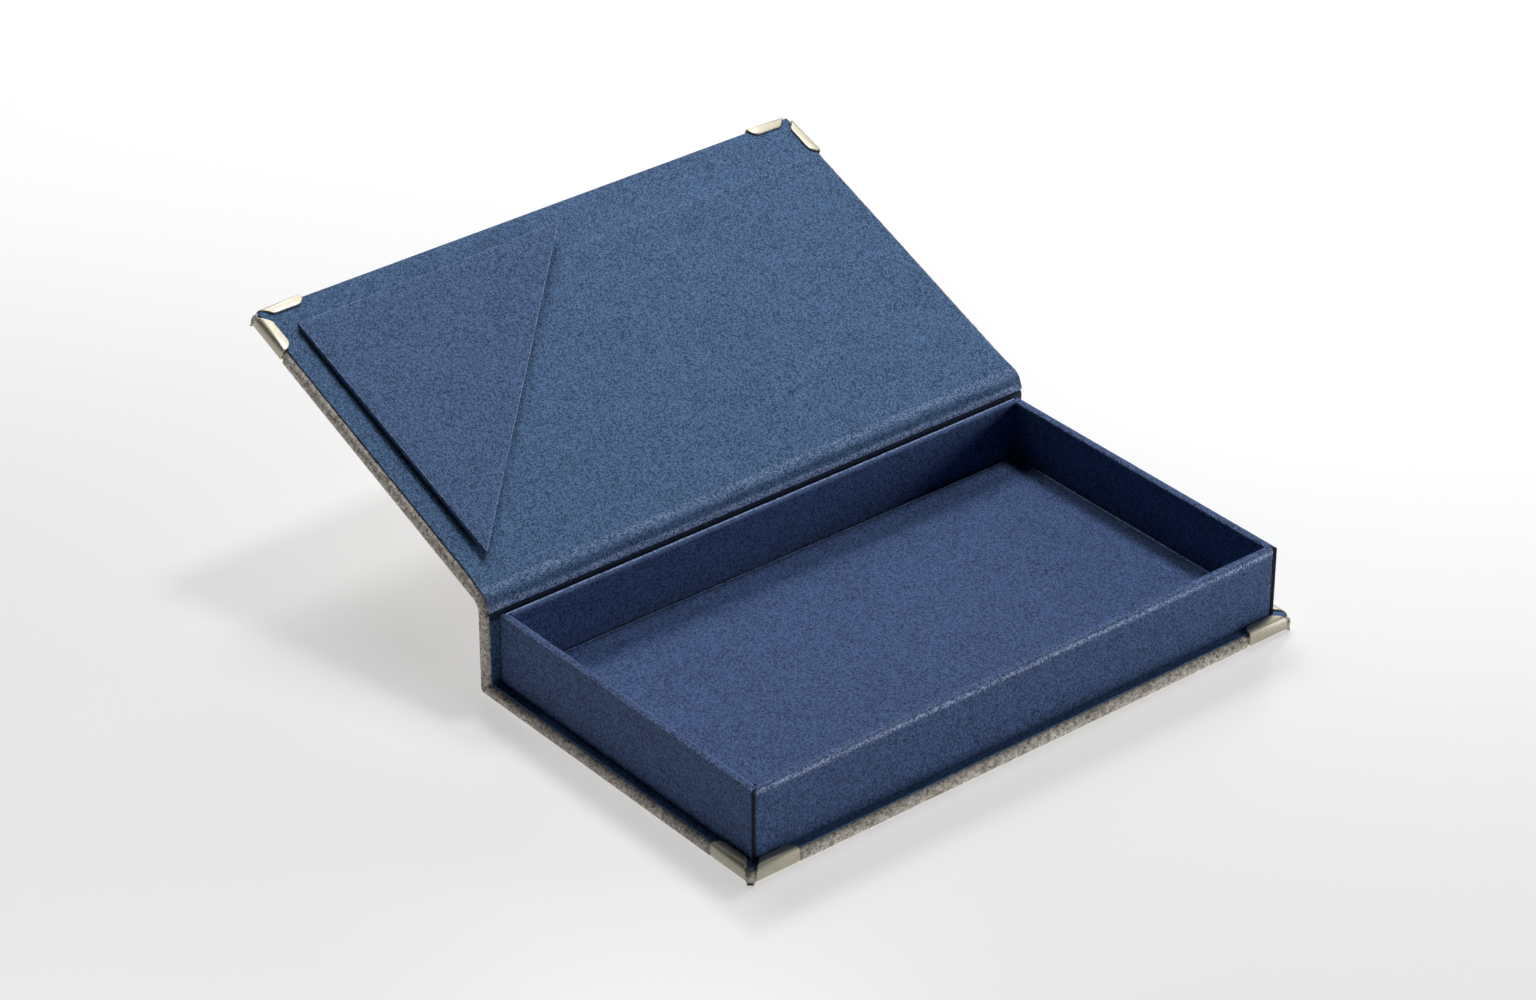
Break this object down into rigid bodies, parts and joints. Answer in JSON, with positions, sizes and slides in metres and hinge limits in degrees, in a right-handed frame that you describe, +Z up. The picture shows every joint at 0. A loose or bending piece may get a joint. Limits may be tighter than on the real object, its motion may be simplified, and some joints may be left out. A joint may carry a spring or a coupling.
{
  "type": "archival box",
  "caption": "Felt-covered book-style box with a cloth-lined tray, a hinged lid with a triangular document pocket, and metal corners.",
  "frame": {"origin": "centre of the base's underside, where the closed case rests on a surface", "axes": "+X along the spine to the right seen from the tray's open front, +Y from the front edge to the spine, +Z up"},
  "size_m": [0.2166, 0.2484, 0.083],
  "materials": {
    "wool_felt": "grey-brown melange wool felt",
    "book_cloth": "navy woven book cloth",
    "lining_cloth": "navy woven book cloth",
    "greyboard": "uncoated grey bookbinding board, pressed paper pulp",
    "card": "uncoated card",
    "pale_brass": "satin pale brass sheet"
  },
  "bodies": {
    "case": {"base_felt": "wool_felt", "base_board": "greyboard", "base_infill_card": "card", "base_lining": "lining_cloth", "base_corner_left": "pale_brass", "base_corner_right": "pale_brass", "spine_felt": "wool_felt", "spine_board": "greyboard", "spine_infill_card": "card", "spine_lining": "lining_cloth", "joint_felt": "wool_felt", "joint_lining": "lining_cloth", "tray_front_wall": "greyboard", "tray_front_cloth": "book_cloth", "tray_back_wall": "greyboard", "tray_back_cloth": "book_cloth", "tray_left_wall": "greyboard", "tray_left_cloth": "book_cloth", "tray_right_wall": "greyboard", "tray_right_cloth": "book_cloth", "tray_floor": "greyboard", "floor_liner_card": "card", "floor_liner_cloth": "book_cloth"},
    "lid": {"lid_felt": "wool_felt", "lid_board": "greyboard", "lid_infill_card": "card", "lid_lining": "lining_cloth", "lid_corner_left": "pale_brass", "lid_corner_right": "pale_brass", "pocket_cover": "book_cloth", "pocket_card": "card", "pocket_gusset_top": "book_cloth", "pocket_gusset_side": "book_cloth"}
  },
  "joints": [
    {"name": "lid_joint", "type": "hinge", "parent": "case", "child": "lid", "pos_m": [0, 0.0628, 0.03305], "axis": [1, 0, 0], "range_deg": [-35, 158.5], "deforming": ["joint_felt", "joint_lining"]}
  ]
}
